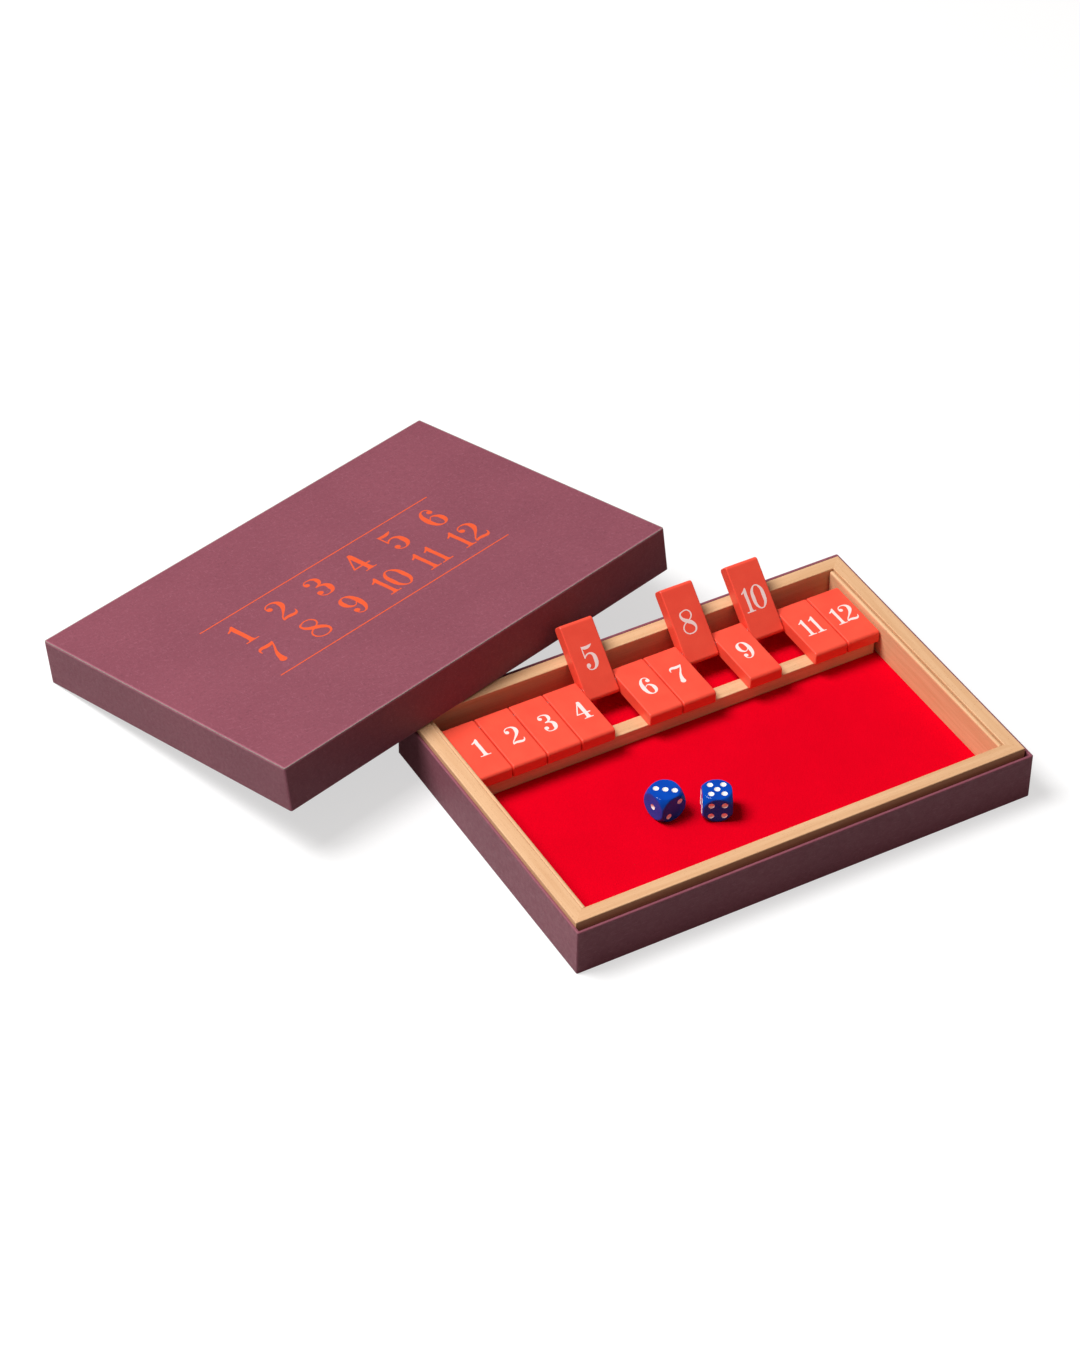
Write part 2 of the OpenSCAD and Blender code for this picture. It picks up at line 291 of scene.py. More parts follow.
def apply_modifier(piece, kind, **settings):
    """Adds a modifier with its settings and applies it at once."""
    take(piece)
    bpy.ops.object.modifier_add(type=kind)
    modifier = piece.modifiers[-1]
    for name, value in settings.items():
        setattr(modifier, name, value)
    bpy.ops.object.modifier_apply(modifier=modifier.name)


def drill_bore(piece, radius, depth, middle=(0, 0, 0)):
    """Drills a hole along X through a piece."""
    bpy.ops.object.select_all(action="DESELECT")
    bpy.ops.mesh.primitive_cylinder_add(vertices=BORE_SIDES, radius=radius, depth=depth,
        rotation=(0, math.pi / 2, 0), location=middle)
    drill = bpy.context.object
    apply_modifier(piece, "BOOLEAN", operation="DIFFERENCE", object=drill, solver="EXACT")
    bpy.data.objects.remove(drill)


def smooth(piece, angle=40):
    """Smooth shading over soft edges, with the large flat faces kept flat."""
    take(piece)
    bpy.ops.object.shade_smooth_by_angle(angle=math.radians(angle))
    apply_modifier(piece, "WEIGHTED_NORMAL", keep_sharp=True)


def put(piece, place):
    """Moves a piece's mesh to its place, and leaves its object at the origin."""
    piece.data.transform(place)
    piece.data.update()


def place_copy(piece, name, place):
    """A copy with a mesh of its own, put in its place."""
    copy = piece.copy()
    copy.data = piece.data.copy()
    copy.name = copy.data.name = name
    bpy.context.collection.objects.link(copy)
    put(copy, place)
    return copy


def finish_piece(piece, body, stands_for=()):
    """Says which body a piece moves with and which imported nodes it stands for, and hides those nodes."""
    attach(piece, body)
    if stands_for:
        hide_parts(*stands_for)


print("helpers ready")

# %% [markdown]
# ## The plum paper
# The box is grey board wrapped in dyed paper. Such paper is never one flat colour: it is cloudy over a few
# centimetres, mottled at two millimetres, and has paler fibres lying two ways. The rounded edges are painted a little
# lighter and pinker: partly rubbing, partly a painted highlight where light catches them. A photograph of paper could
# be laid on, but noise at several sizes needs no picture and has no seams. The paper's rounded edges are marked on
# the mesh by an attribute.

# %% The plum paper
PLUM = (140, 73, 88)
PLUM_DARK = (122, 60, 75)
# The pale tone of the fibres, and of the rounded edges: partly rubbing, partly a painted highlight where light catches
# them
PLUM_WEAR_AND_HIGHLIGHT = (186, 118, 136)


def paper_material(name, light, dark, pale_wear_and_highlight):
    """Dyed paper with clouds, mottling, flecks and fibres, and rounded edges that are smoother and painted lighter:
    partly rubbing, partly a painted highlight.
    """
    paper = start_material(name, {"Specular IOR Level": 0.34, "Sheen Weight": 0.05, "Sheen Roughness": 0.6})
    clouds = remap(paper, noise(paper, 60 * MM, 2), 0.3, 0.7)
    mottle = remap(paper, noise(paper, 2.6 * MM, 4), 0.34, 0.66)
    flecks = remap(paper, noise(paper, 1.5 * MM, 2), 0.6, 0.72)
    fibres_x = remap(paper, noise(paper, 0.6 * MM, 2, (7, 1, 1)), 0.6, 0.72)
    fibres_y = remap(paper, noise(paper, 0.6 * MM, 2, (1, 6, 1)), 0.6, 0.72)
    fibres = maths(paper, "MAXIMUM", fibres_x, fibres_y)
    tone = blend(paper, remap(paper, clouds, 0, 1, 0.25, 0.65), colour(*light), colour(*dark))
    tone = blend(paper, maths(paper, "MULTIPLY", mottle, 0.4), tone, colour(*dark))
    tone = blend(paper, maths(paper, "MULTIPLY", flecks, 0.28), tone, colour(*(level * 0.62 for level in dark)))
    tone = blend(paper, maths(paper, "MULTIPLY", fibres, 0.25), tone, colour(*pale_wear_and_highlight))
    # The rounded edges are painted lighter: partly rubbing, partly a painted highlight where light catches them
    edge = add_node(paper, "Attribute", attribute_name="pale_wear_and_highlight").outputs["Fac"]
    rubbing_and_highlight = maths(paper, "MULTIPLY", edge, remap(paper, mottle, 0, 1, 0.3, 0.5))
    tone = blend(paper, rubbing_and_highlight, tone, colour(*pale_wear_and_highlight))
    pores = noise(paper, 0.35 * MM, 3)
    relief = maths(paper, "ADD", maths(paper, "MULTIPLY", mottle, 0.5), pores)
    rough = maths(paper, "SUBTRACT", remap(paper, mottle, 0, 1, 0.5, 0.62), maths(paper, "MULTIPLY", edge, 0.06))
    return dress(paper, base=tone, rough=rough, height=relief, depth=0.05 * MM, strength=0.6)


plum_paper = paper_material("plum_paper", PLUM, PLUM_DARK, PLUM_WEAR_AND_HIGHLIGHT)
print("plum paper:", len(plum_paper.node_tree.nodes), "nodes")

# %% [markdown]
# ## The paper round the base
# One sheet goes up the walls, over the rim and a little way down inside, and under the bottom by the same trick.
# It could be drawn as a profile and swept round, or bevelled edge by edge, but both make knots where three round
# edges meet. Insets do better. The block's upright corners are rounded first. Then the top face is carried over the
# rim by a row of small insets, each a little deeper, that follow a quarter circle, and the sunk face is deleted at
# the end. Solidify gives the sheet its thickness. The faces that lie aslant, on the rounded edges, are marked to be
# painted lighter, partly for rubbing and partly as a painted highlight: strongly on the lid, and less on the base.

# %% The paper skins
PAPER = 0.25 * MM
BOARD = 1.5 * MM
WALL = BOARD + 2 * PAPER
TURN_IN = 14 * MM
TURN_UNDER = 12 * MM
CORNER_LEFT = 0.05 * MM
CORNER_MERGE = 0.5 * MM
EDGE_STEPS = 5


def carry_over(radius, inwards):
    """Carries the selected face round a quarter circle, from a wall onto its rim or from the rim down inside."""
    angles = [math.radians(90) * step / EDGE_STEPS for step in range(EDGE_STEPS + 1)]
    for before, after in zip(angles, angles[1:]):
        along = radius * (math.sin(after) - math.sin(before))
        across = radius * (math.cos(before) - math.cos(after))
        if inwards:
            bpy.ops.mesh.inset(thickness=along, depth=-across)
        else:
            bpy.ops.mesh.inset(thickness=across, depth=along)


def square_corners(radius):
    """Insets the selected face until its corners' radius is nearly used up, and merges each corner to a point."""
    bpy.ops.mesh.inset(thickness=radius - CORNER_LEFT)
    bpy.ops.mesh.remove_doubles(threshold=CORNER_MERGE)


def paper_skin(name, width, depth, height, corner, rim_edge, foot_edge, open_floor, wear_and_highlight):
    """Paper round an open box that stands at the origin with its rim up, with three radii for its edges."""
    straight = height - rim_edge - foot_edge
    skin = block(name, width, depth, straight, (0, 0, foot_edge + straight / 2))
    bpy.ops.object.mode_set(mode="EDIT")
    round_edges(skin, lambda edge: span(edge, 2) > straight / 2, corner, 6)
    choose(skin, "FACE", lambda face: face.normal.z > 0.9)
    carry_over(rim_edge, False)
    square_corners(corner - rim_edge)
    bpy.ops.mesh.inset(thickness=WALL - corner + CORNER_LEFT - rim_edge)
    carry_over(rim_edge, True)
    bpy.ops.mesh.extrude_region_move(TRANSFORM_OT_translate={"value": (0, 0, rim_edge - TURN_IN)})
    bpy.ops.mesh.delete(type="FACE")
    choose(skin, "FACE", lambda face: face.normal.z < -0.9)
    carry_over(foot_edge, False)
    if open_floor:
        square_corners(corner - foot_edge)
        bpy.ops.mesh.inset(thickness=TURN_UNDER - corner + CORNER_LEFT)
        bpy.ops.mesh.delete(type="FACE")
    bpy.ops.object.mode_set(mode="OBJECT")
    apply_modifier(skin, "SOLIDIFY", thickness=PAPER, offset=-1, use_even_offset=True)
    # The faces on the rounded edges are marked, to be painted lighter: partly rubbing, partly a painted highlight
    pale_wear_and_highlight = skin.data.attributes.new("pale_wear_and_highlight", "FLOAT", "CORNER")
    for face in skin.data.polygons:
        share = wear_and_highlight if max(map(abs, face.normal)) < 0.99 else 0
        for loop in face.loop_indices:
            pale_wear_and_highlight.data[loop].value = share
    smooth(skin)
    return skin


BASE_CORNER = 1.2 * MM
BASE_RIM = 0.8 * MM
BASE_FOOT = 0.8 * MM
# How strongly the base's rounded edges are painted lighter, for rubbing and a painted highlight
BASE_WEAR_AND_HIGHLIGHT = 0.3
base_low, base_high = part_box("base_wrap")
base_width = base_high.x - base_low.x
base_depth = base_high.y - base_low.y
base_height = base_high.z
base_skin = paper_skin("base_paper", base_width, base_depth, base_height, BASE_CORNER, BASE_RIM, BASE_FOOT, True,
    BASE_WEAR_AND_HIGHLIGHT)
base_skin.data.materials.append(plum_paper)
finish_piece(base_skin, "box_base", ["base_wrap"])
print("base paper:", len(base_skin.data.polygons), "faces")

# %% The sheet under the base
SHEET_SEAM = 0.2 * MM

under_side = block("base_under_sheet", base_width - 2 * (TURN_UNDER + SHEET_SEAM),
    base_depth - 2 * (TURN_UNDER + SHEET_SEAM), PAPER, (0, 0, PAPER / 2))
bpy.ops.object.mode_set(mode="EDIT")
round_edges(under_side, lambda edge: span(edge, 2) > PAPER / 2, BASE_CORNER, 4)
bpy.ops.object.mode_set(mode="OBJECT")
under_side.data.materials.append(plum_paper)
finish_piece(under_side, "box_base", ["base_bottom_paper"])
print("sheet under the base:", len(under_side.data.polygons), "faces")

# %% [markdown]
# ## The lid
# The lid is the same box, a little wider, turned over and leaning with one long rim on the tray. Its place is a
# chain of simple moves: turn the box over, tip it so that the raised rim lies on the tray's back wall, turn it about
# the vertical, and carry it to the base's back left corner. Multiplying these moves gives one matrix.

# %% The lid's place
LID_PLAY = 0.9 * MM
LID_HEIGHT = 31.6 * MM
LID_TURN = math.radians(15.6)
LID_OVER = (57.4 * MM, 8.9 * MM)
RIM_GAP = 0.4 * MM

lid_width = base_width + 2 * (LID_PLAY + WALL)
lid_depth = base_depth + 2 * (LID_PLAY + WALL)
rim_support = max(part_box("front_wall")[1].z, base_height)
lid_tilt = math.asin((rim_support + RIM_GAP) / (lid_depth - WALL))
lid_near = Vector((base_low.x + LID_OVER[0], base_high.y - LID_OVER[1], 0))
lid_top_place = (Matrix.Translation(lid_near) @ Matrix.Rotation(LID_TURN, 4, "Z")
    @ Matrix.Translation((0, lid_depth * math.cos(lid_tilt), 0)) @ Matrix.Rotation(-lid_tilt, 4, "X")
    @ Matrix.Translation((0, -lid_depth / 2, LID_HEIGHT)))
lid_place = lid_top_place @ Matrix.Rotation(math.pi, 4, "X")

# %% The paper round the lid
LID_CORNER = 1.5 * MM
LID_RIM = 0.5 * MM
LID_EDGE = 1.42 * MM
# How strongly the lid's rounded edges are painted lighter, for rubbing and a painted highlight
LID_WEAR_AND_HIGHLIGHT = 0.9

lid_skin = paper_skin("lid_paper", lid_width, lid_depth, LID_HEIGHT, LID_CORNER, LID_RIM, LID_EDGE, False, LID_WEAR_AND_HIGHLIGHT)
put(lid_skin, lid_place)
lid_skin.data.materials.append(plum_paper)
finish_piece(lid_skin, "lid", ["lid_wrap"])

# %% [markdown]
# ## Numerals like a sign painter's
# The tiles carry old-style numerals with fat and thin strokes and ball ends. A font could be typed, but none of this
# kind is at hand, so each numeral is drawn the way a sign painter would: as a few strokes, each a list of places with
# the brush's width there, and a few balls. A curve can carry a width at every point. Given a flat cross-section and a
# quarter turn of tilt, it becomes a ribbon that swells and thins. The ribbons and balls are made solid and then
# merged in edit mode, so that each numeral is one clean closed film of paint.

# %% The strokes of each numeral
# Millimetres from the middle of the foot of a numeral 16 mm tall: x, y and the brush's width
NUMERAL_HEIGHT = 16
STEM = [(1.0, 15.95, 0.9), (0.55, 15.0, 1.9), (0.15, 13.7, 2.6), (0.15, 8, 2.6), (0.15, 2.4, 2.6),
    (0.15, 1.0, 3.3), (0.15, 0.4, 5.0)]
FOOT = [(-3.6, 0.36, 0.72), (3.6, 0.36, 0.72)]
SIX_BOWL = [(-1.9, 7.2, 0.5), (0.3, 9.0, 0.8), (2.5, 7.8, 1.9), (3.35, 4.6, 2.8), (2.3, 1.4, 1.7),
    (0.1, 0.4, 0.8), (-1.9, 1.5, 1.8), (-3.05, 4.8, 2.7), (-3.1, 8.6, 3.0), (-2.0, 13.2, 1.9),
    (0.5, 15.6, 0.8), (2.6, 14.9, 0.75), (3.5, 13.0, 0.6)]
NUMERALS = {
    "0": {"rings": [[(0, 15.6, 0.8), (-2.7, 13.6, 1.7), (-3.6, 8, 2.7), (-2.7, 2.4, 1.7),
        (0, 0.4, 0.8), (2.7, 2.4, 1.7), (3.6, 8, 2.7), (2.7, 13.6, 1.7)]]},
    "1": {"strokes": [STEM, FOOT, [(0.9, 15.4, 1.1), (-1.2, 13.7, 1.2), (-3.2, 12.7, 0.9)]]},
    "2": {"strokes": [[(-4.0, 12.4, 0.6), (-3.0, 14.6, 0.75), (-0.2, 15.6, 0.8), (2.6, 14.3, 1.9),
        (3.2, 11.6, 2.9), (2.1, 8.7, 2.2), (-0.8, 5.3, 1.1), (-3.2, 2.7, 0.8), (-4.1, 0.9, 0.7)],
        [(-4.15, 0.8, 1.1), (-2.2, 1.5, 1.8), (0.2, 1.3, 2.3), (2.6, 1.0, 1.9), (4.1, 2.1, 0.9),
        (4.6, 3.7, 0.5)]],
        "balls": [(-2.75, 11.9, 1.4)]},
    "3": {"strokes": [[(-3.9, 13.2, 0.6), (-2.7, 15.1, 0.75), (-0.2, 15.6, 0.8), (2.3, 14.3, 1.8),
        (2.75, 12.2, 2.5), (1.6, 9.7, 1.5), (-1.4, 8.6, 0.7)],
        [(-1.4, 8.6, 0.7), (1.4, 8.2, 1.4), (3.1, 6.6, 2.6), (3.0, 3.6, 3.1), (1.8, 1.2, 1.7),
        (-0.4, 0.4, 0.8), (-2.9, 1.0, 0.75), (-4.2, 3.2, 0.6)]],
        "balls": [(-2.7, 12.9, 1.3), (-2.9, 3.9, 1.45)]},
    "4": {"strokes": [[(1.5, 15.95, 1.8), (1.5, 14.6, 2.8), (1.5, 8, 2.8), (1.5, 2.2, 2.8), (1.5, 1.0, 3.4),
        (1.5, 0.4, 4.6)], [(-1.7, 0.36, 0.72), (4.5, 0.36, 0.72)],
        [(1.3, 15.6, 0.8), (-1.6, 10.3, 0.85), (-4.3, 5.0, 0.9)], [(-4.6, 5.1, 0.95), (4.8, 5.1, 0.95)]]},
    "5": {"strokes": [[(-3.75, 15.9, 0.3), (-2.6, 15.0, 1.8), (-0.2, 14.6, 2.3), (2.0, 15.1, 1.7),
        (3.7, 16.0, 0.3)], [(-3.35, 15.4, 0.8), (-3.35, 8.3, 0.8)],
        [(-3.5, 8.5, 0.6), (-2.1, 9.9, 0.9), (0.3, 10.6, 1.1), (2.6, 9.2, 2.2), (3.2, 5.9, 3.0),
        (2.4, 2.3, 2.3), (0.1, 0.5, 0.9), (-2.5, 0.9, 0.75), (-4.0, 3.0, 0.6)]],
        "balls": [(-2.7, 3.4, 1.4)]},
    "6": {"strokes": [SIX_BOWL], "balls": [(2.4, 12.4, 1.4)]},
    "7": {"strokes": [[(-4.3, 11.9, 0.5), (-4.0, 13.9, 1.1), (-2.5, 14.9, 2.1), (0.4, 14.6, 2.5),
        (2.8, 14.9, 2.0), (4.4, 15.9, 0.5)],
        [(4.2, 15.6, 0.9), (2.5, 12.0, 1.0), (0.3, 8.2, 1.5), (-0.9, 4.9, 2.5), (-1.4, 1.8, 3.3)]],
        "balls": [(-1.5, 1.75, 1.75)]},
    "8": {"strokes": [[(-1.6, 15.2, 0.8), (-3.3, 14.2, 1.1), (-3.55, 12.2, 1.6), (-2.3, 10.1, 2.4), (0.4, 8.3, 2.8),
        (3.0, 6.3, 2.5), (4.1, 3.8, 1.6), (3.2, 1.5, 1.1), (1.2, 0.5, 0.8)],
        [(1.6, 0.6, 0.8), (0, 0.4, 0.8), (-2.9, 1.3, 0.85), (-4.3, 4.0, 0.95), (-3.2, 6.6, 0.85),
        (0, 8.5, 0.8), (3.0, 10.4, 0.9), (3.8, 12.6, 1.0), (2.5, 15.0, 0.85), (0.2, 15.6, 0.8),
        (-1.9, 15.1, 0.8)]]},
    "9": {"strokes": [[(-x, NUMERAL_HEIGHT - y, width) for x, y, width in SIX_BOWL]],
        "balls": [(-2.4, 3.6, 1.4)]},
}
print(len(NUMERALS), "numerals")

# %% Paint one numeral
PAINT_OVER = 0.04 * MM
PAINT_UNDER = 0.02 * MM
PAINT_MERGE = 0.001 * MM
# The share of each listed width that the brush really paints
BRUSH = 0.9


def ribbon(points, closed):
    """One brush stroke: a flat ribbon whose width follows its points."""
    data = bpy.data.curves.new("stroke", "CURVE")
    data.dimensions = "3D"
    data.extrude = 0.5 * MM
    data.resolution_u = 8
    spline = data.splines.new("BEZIER")
    spline.bezier_points.add(len(points) - 1)
    spline.use_cyclic_u = closed
    spline.radius_interpolation = "CARDINAL"
    for node, (x, y, width) in zip(spline.bezier_points, points):
        node.co = (x * MM, y * MM, 0)
        node.handle_left_type = node.handle_right_type = "AUTO"
        node.radius = width * BRUSH
        node.tilt = math.pi / 2
    piece = bpy.data.objects.new("stroke", data)
    bpy.context.collection.objects.link(piece)
    take(piece)
    bpy.ops.object.convert(target="MESH")
    return piece


def ball(x, y, radius):
    """The round end of a stroke."""
    bpy.ops.object.select_all(action="DESELECT")
    bpy.ops.mesh.primitive_circle_add(vertices=40, radius=radius * MM, fill_type="NGON",
        location=(x * MM, y * MM, 0))
    bpy.ops.object.transform_apply(location=True)
    return bpy.context.object


def paint_numeral(sign):
    """A numeral as one closed film of paint, with its foot at the origin."""
    strokes = NUMERALS[sign]
    parts = [ribbon(points, False) for points in strokes.get("strokes", [])]
    parts += [ribbon(points, True) for points in strokes.get("rings", [])]
    parts += [ball(*place) for place in strokes.get("balls", [])]
    for part in parts:
        take(part)
        bpy.ops.object.mode_set(mode="EDIT")
        bpy.ops.mesh.select_all(action="SELECT")
        bpy.ops.mesh.remove_doubles(threshold=PAINT_MERGE)
        bpy.ops.mesh.extrude_region_move(TRANSFORM_OT_translate={"value": (0, 0, PAINT_OVER + PAINT_UNDER)})
        bpy.ops.mesh.select_all(action="SELECT")
        bpy.ops.mesh.normals_make_consistent(inside=False)
        bpy.ops.object.mode_set(mode="OBJECT")
        put(part, Matrix.Translation((0, 0, -PAINT_UNDER)))
    take(parts[0])
    for part in parts:
        part.select_set(True)
    if len(parts) > 1:
        bpy.ops.object.join()
    numeral = bpy.context.object
    bpy.ops.object.mode_set(mode="EDIT")
    bpy.ops.mesh.select_all(action="SELECT")
    bpy.ops.mesh.intersect_boolean(operation="UNION", use_self=True, solver="EXACT")
    bpy.ops.mesh.select_all(action="SELECT")
    bpy.ops.mesh.remove_doubles(threshold=PAINT_MERGE)
    bpy.ops.object.mode_set(mode="OBJECT")
    bpy.ops.object.shade_flat()
    numeral.name = "numeral_" + sign
    return numeral


painted = {sign: paint_numeral(sign) for sign in NUMERALS}
print("faces in each numeral:", {sign: len(piece.data.polygons) for sign, piece in painted.items()})

# %% Put numerals together
TWO_DIGITS = {"1": 0.86, "0": 1.0, "2": 0.98}
PAIR_STEP = {"10": (-4.9, 3.2), "11": (-3.6, 3.6), "12": (-4.9, 3.0)}


def number(value, name):
    """A number of one or two digits as one mesh, with the middle of its foot at the origin."""
    text = str(value)
    if len(text) == 1:
        return place_copy(painted[text], name, Matrix.Identity(4))
    parts = []
    for digit, step in zip(text, PAIR_STEP[text]):
        narrow = Matrix.Diagonal((TWO_DIGITS[digit], 1, 1, 1))
        parts.append(place_copy(painted[digit], name, Matrix.Translation((step * MM, 0, 0)) @ narrow))
    take(parts[0])
    parts[1].select_set(True)
    bpy.ops.object.join()
    joined = bpy.context.object
    joined.name = joined.data.name = name
    return joined


numbers = {value: number(value, f"number_{value}") for value in range(1, 13)}
print("numbers:", [round(piece.dimensions.x / MM, 1) for piece in numbers.values()], "mm wide")

# %% [markdown]
# ## White paint and orange print
# The tiles' numerals are screen printed in white, and the lid's print is a warm orange. Print sinks a little into the
# paper or the paint below it, so its colour is broken by fine speckles where the ink missed.

# %% The print materials
WHITE_INK, WHITE_THIN = (250, 229, 225), (242, 190, 182)
ORANGE_INK, ORANGE_THIN = (228, 88, 46), (204, 74, 46)


def print_material(name, ink, thin):
    """Printed ink with fine speckles."""
    material = start_material(name, {"Specular IOR Level": 0.35, "Roughness": 0.5})
    speckle = remap(material, noise(material, 0.3 * MM, 3), 0.58, 0.7, 0, 0.5)
    patch = remap(material, noise(material, 5 * MM, 2), 0.35, 0.65, 0, 0.2)
    share = maths(material, "MAXIMUM", speckle, patch)
    tone = blend(material, share, colour(*ink), colour(*thin))
    return dress(material, base=tone, height=noise(material, 0.25 * MM, 2), depth=0.02 * MM, strength=0.5)


white_print = print_material("white_print", WHITE_INK, WHITE_THIN)
orange_print = print_material("orange_print", ORANGE_INK, ORANGE_THIN)
print("print materials:", white_print.name, orange_print.name)

# %% [markdown]
# ## The painted tiles
# A tile is a slip of wood rounded over at both ends, drilled for the rod and painted coral red. One tile is carved
# from a block: a large round on the four end edges, a small one on everything else, and a bore cut through with a
# boolean. It is then copied to its twelve places, nine flat and three thrown back, each copy with its own mesh.

# %% One tile
TILE_LENGTH = 50.5 * MM
TILE_TAIL = 7 * MM
TILE_THICK = 9.4 * MM
TILE_END = 2.2 * MM
TILE_SOFT = 0.8 * MM
TILE_PLAY = 0.3 * MM
BORE = 3.16 * MM
tile_low, tile_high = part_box("tile_1")
tile_width = tile_high.x - tile_low.x - TILE_PLAY

tile = block("tile", tile_width, TILE_LENGTH, TILE_THICK, (0, TILE_TAIL - TILE_LENGTH / 2, 0))
bpy.ops.object.mode_set(mode="EDIT")
round_edges(tile, lambda edge: span(edge, 0) > tile_width / 2 and span(edge, 1) < TOUCH, TILE_END, 8)
round_edges(tile, lambda edge: abs(abs(edge.verts[0].co.x) - tile_width / 2) < TOUCH and span(edge, 0) < TOUCH,
    TILE_SOFT, 4)
bpy.ops.object.mode_set(mode="OBJECT")
drill_bore(tile, BORE / 2, tile_width * 2)
smooth(tile, 35)
print("one tile:", len(tile.data.polygons), "faces")

# %% The tile paint
TILE_RED = (252, 88, 66)
TILE_DEEP = (240, 70, 52)
TILE_STREAK = (228, 60, 46)

tile_paint = start_material("tile_paint", {"Specular IOR Level": 0.4})
paint_cloud = remap(tile_paint, noise(tile_paint, 14 * MM, 3), 0.3, 0.7)
paint_grain = remap(tile_paint, noise(tile_paint, 0.6 * MM, 3, (1, 14, 1)), 0.35, 0.65)
paint_tone = blend(tile_paint, maths(tile_paint, "MULTIPLY", paint_cloud, 0.5), colour(*TILE_RED),
    colour(*TILE_DEEP))
paint_tone = blend(tile_paint, maths(tile_paint, "MULTIPLY", paint_grain, 0.1), paint_tone, colour(*TILE_STREAK))
paint_height = maths(tile_paint, "ADD", noise(tile_paint, 1.3 * MM, 2),
    maths(tile_paint, "MULTIPLY", paint_grain, 0.5))
dress(tile_paint, base=paint_tone, rough=remap(tile_paint, paint_cloud, 0, 1, 0.34, 0.42), height=paint_height,
    depth=0.05 * MM, strength=0.5)
tile.data.materials.append(tile_paint)
print("tile paint:", len(tile_paint.node_tree.nodes), "nodes")

# %% The row of tiles
TILE_COUNT = 12
UP_TILES = (5, 8, 10)
# The turn at which a raised tile leans on the back wall's rounded edge
UP_TURN = math.radians(-136.95)
# How far the raised tiles' numbers sit towards the tile's free end
UP_SHIFT = -0.8 * MM
# How far each printed number sits to the right of its tile's middle
PRINT_SHIFT = {1: 3.0, 2: 2.6, 3: 2.1, 4: 1.7, 5: 0.5, 6: 1.1, 7: 0.6, 8: -0.9, 9: 0.2, 10: -0.3, 11: 0.5, 12: 0.7}
hinges = {joint["name"]: joint for joint in frame["joints"]}

for value in range(1, TILE_COUNT + 1):
    body = f"tile_{value}"
    origin = Vector(hinges[body + "_hinge"]["pos_m"])
    turn = UP_TURN if value in UP_TILES else 0
    place = Matrix.Translation(origin) @ Matrix.Rotation(turn, 4, "X")
    finish_piece(place_copy(tile, f"painted_tile_{value}", place), body, [body])
    middle = TILE_TAIL - TILE_LENGTH / 2 + (UP_SHIFT if value in UP_TILES else 0)
    shift = PRINT_SHIFT[value] * MM
    centre = Matrix.Translation((0, -NUMERAL_HEIGHT / 2 * MM, 0))
    over = Matrix.Translation((shift, middle, TILE_THICK / 2)) @ centre
    under = Matrix.Translation((shift, middle, -TILE_THICK / 2)) @ Matrix.Rotation(math.pi, 4, "X") @ centre
    for side, printed in (("top", over), ("back", under)):
        numeral = place_copy(numbers[value], f"tile_{value}_number_{side}", place @ printed)
        numeral.data.materials.append(white_print)
        finish_piece(numeral, body)
bpy.data.objects.remove(tile)
print("tiles placed:", TILE_COUNT, "of which thrown back:", UP_TILES)

# %% [markdown]
# ## The print on the lid
# The lid's top carries an ornament of plain numbers, from 1 to 12 in two rows between two thin rules. It reuses the
# tiles' numbers, made larger by one matrix, and lies a hair above the paper.

# %% The print on the lid
PRINT_SCALE = 1.45
COLUMN_STEP = 33 * MM
ROW_STEP = 33 * MM
RULE = (196 * MM, 0.9 * MM)
RULE_OUT = 38 * MM
PRINT_FILM = 0.04 * MM

ink = []
for value in range(1, TILE_COUNT + 1):
    column, row = (value - 1) % 6, (value - 1) // 6
    spot = Vector(((column - 2.5) * COLUMN_STEP, (0.5 - row) * ROW_STEP - NUMERAL_HEIGHT / 2 * PRINT_SCALE * MM, 0))
    grown = Matrix.Translation(spot) @ Matrix.Diagonal((PRINT_SCALE, PRINT_SCALE, 1, 1))
    ink.append(place_copy(numbers[value], f"lid_number_{value}", lid_top_place @ grown))
for side in (-1, 1):
    rule = block("rule", RULE[0], RULE[1], PRINT_FILM + PAINT_UNDER,
        (0, side * RULE_OUT, (PRINT_FILM - PAINT_UNDER) / 2))
    put(rule, lid_top_place)
    ink.append(rule)
take(ink[0])
for piece in ink:
    piece.select_set(True)
bpy.ops.object.join()
lid_print = bpy.context.object
lid_print.name = lid_print.data.name = "lid_print"
lid_print.data.materials.append(orange_print)
finish_piece(lid_print, "lid")
for piece in list(painted.values()) + list(numbers.values()):
    bpy.data.objects.remove(piece)
print("lid print:", len(lid_print.data.polygons), "faces")

# %% [markdown]
# ## The dice
# A casino die has sharp corners, but these are the common kind: the cube's corners are rounded off by a ball. In
# Blender that is one boolean between a cube and a sphere. Remeshing the result and smoothing it softens the edges
# that the ball leaves. The pips are hollows, cut by one small ball each. A cutter's own material passes to the
# surface that it cuts, which paints every pip white without any further work.

# %% The dice's plastic
DIE_BLUE, DIE_DEEP = (0, 74, 184), (4, 66, 172)
PIP_WHITE, PIP_DUSTY = (252, 250, 248), (236, 230, 228)

